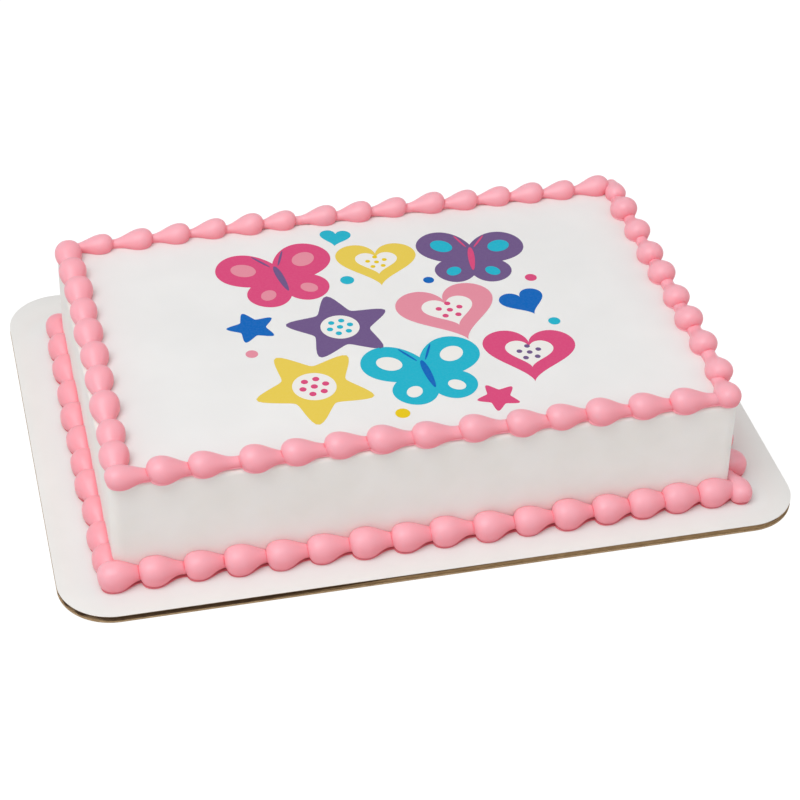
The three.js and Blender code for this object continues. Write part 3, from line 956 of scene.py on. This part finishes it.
def build_border(runs, form, spread, ground, cutters):
    """Each run is the union of its beads and their bases, cut by what it lies on and by the first bead
    of the next run, which was piped over its end. Every second bead is joined in one go, because
    those don't meet each other."""
    rows = []
    for index, run in enumerate(runs):
        heads = run_heads(run, index, form)
        ends = np.append(heads[1:, 0], heads[-1, 0] + run["lengths"][-1])
        own = dict(form, taper=form["taper"] * run["tail"], **run.get("own", {}))
        beads = [placed(bead(head, own, end), run, ground) for head, end in zip(heads, ends)]
        bases = [placed(base(head, own, spread, end), run, ground) for head, end in zip(heads, ends)]
        rows.append((beads, bases))
    for index, run in enumerate(runs):
        beads, bases = rows[index]
        piece = make_piece(run["name"], beads[0::2])
        for parts in (beads[1::2], bases[0::2], bases[1::2]):
            change(piece, parts, "UNION")
        for parts in rows[(index + 1) % len(runs)]:
            change(piece, parts[:1], "DIFFERENCE")
        for cutter in cutters:
            combine(piece, cutter, "DIFFERENCE")
        smooth(piece.data, BEAD_CREASE)
        finish = pink_buttercream("pink_" + run["name"], run.get("lit_at", LIT_AT))
        finish_piece(piece, finish, "pink_icing", run["name"])


# The studio


def build_floor():
    """A white floor that glows, as a square grid with its middle under the board. Light from all
    round passes it, so that it throws no more light on the cake than the rest of the studio."""
    line = np.linspace(-FLOOR_REACH, FLOOR_REACH, FLOOR_LINES)
    flat = np.stack(np.meshgrid(line, line), axis=2)
    index = np.arange(FLOOR_LINES ** 2).reshape(FLOOR_LINES, FLOOR_LINES)
    quads = np.stack([index[:-1, :-1], index[:-1, 1:], index[1:, 1:], index[1:, :-1]], axis=-1)
    floor = make_piece("floor", [(with_height(flat, 0).reshape(-1, 3), [quads.reshape(-1, 4)])])
    finish = Finish("white_floor", 0.9)
    shade = finish.spread(finish.noise(900, detail=0), 0.2, 0.8)
    finish.vary("Base Color", finish.mix(shade, *FLOOR_GREY))
    finish.set("Emission Color", WHITE_LIGHT)
    finish.set("Emission Strength", 1)
    floor.data.materials.append(finish.material)
    floor.visible_diffuse = False
    floor.visible_glossy = False
    floor.visible_shadow = False


def looking(azimuth, elevation, roll=0.0):
    """The right, up and backward directions of what looks along +Y when it is level, turned to an
    azimuth, raised to look down from an elevation and rolled, all in degrees."""
    azimuth, elevation, roll = np.radians([azimuth, elevation, roll])
    back = np.array([
        math.sin(azimuth) * math.cos(elevation),
        -math.cos(azimuth) * math.cos(elevation),
        math.sin(elevation),
    ])
    level = np.array([math.cos(azimuth), math.sin(azimuth), 0])
    upright = np.cross(back, level)
    right = math.cos(roll) * level + math.sin(roll) * upright
    up = -math.sin(roll) * level + math.cos(roll) * upright
    return np.column_stack([right, up, back])


def set_up(name, data, directions, place):
    """Puts a lamp or camera at its place, given in millimetres."""
    thing = bpy.data.objects.new(name, data)
    matrix = Matrix(directions.tolist()).to_4x4()
    matrix.translation = [float(value) * MM for value in place]
    thing.matrix_world = matrix
    bpy.context.scene.collection.objects.link(thing)
    return thing


def build_lights():
    """White light from all round, more of it from the bright table below, and the softboxes. A disk
    of the power P throws P / (pi d^2) on what faces it at the distance d."""
    world = bpy.data.worlds.new("white_studio")
    world.use_nodes = True
    nodes = world.node_tree.nodes
    links = world.node_tree.links
    split = nodes.new("ShaderNodeSeparateXYZ")
    climb = nodes.new("ShaderNodeMapRange")
    climb.inputs["From Min"].default_value = -HORIZON_BLUR
    climb.inputs["From Max"].default_value = HORIZON_BLUR
    climb.inputs["To Min"].default_value = LIGHT_FROM_BELOW
    climb.inputs["To Max"].default_value = LIGHT_FROM_ABOVE
    links.new(nodes.new("ShaderNodeTexCoord").outputs["Generated"], split.inputs["Vector"])
    links.new(split.outputs["Z"], climb.inputs["Value"])
    links.new(climb.outputs["Result"], nodes["Background"].inputs["Strength"])
    nodes["Background"].inputs["Color"].default_value = WHITE_LIGHT
    bpy.context.scene.world = world
    for name, box in SOFTBOXES.items():
        lamp = bpy.data.lights.new(name, "AREA")
        lamp.shape = "DISK"
        lamp.size = box["size"] * MM
        lamp.energy = box["light"] * math.pi * (box["distance"] * MM) ** 2
        directions = looking(box["azimuth"], box["elevation"])
        set_up(name, lamp, directions, directions[:, 2] * box["distance"]).visible_camera = False


def build_camera():
    """Stands at the photograph's viewpoint."""
    lens = bpy.data.cameras.new("camera")
    lens.sensor_width = CAMERA_SENSOR
    lens.lens = CAMERA_LENS
    lens.clip_start = CAMERA_NEAR
    directions = looking(CAMERA_AZIMUTH, CAMERA_ELEVATION, CAMERA_ROLL)
    bpy.context.scene.camera = set_up("camera", lens, directions, CAMERA_PLACE)


build_camera()
build_board()
cake = make_piece("iced_cake_skin", [cake_skin()], EDGE_CREASE)
finish_piece(cake, white_buttercream(), "white_icing", "iced_cake")
sheet = make_piece("icing_sheet_skin", [sheet_skin()], EDGE_CREASE)
finish_piece(sheet, icing_sheet(), "icing_sheet", "printed_icing_sheet")
build_print()

block = make_piece("board_block", [liner(BLOCK_BOTTOM, BOARD_THICKNESS)])
build_border(TOP_RUNS, TOP_BEAD, TOP_BASE, CAKE_TOP, [cake, sheet])
build_border(FOOT_RUNS, FOOT_BEAD, FOOT_BASE, BOARD_THICKNESS, [cake, block])
bpy.data.objects.remove(block)

build_floor()
build_lights()
bpy.context.scene.view_settings.view_transform = "Standard"
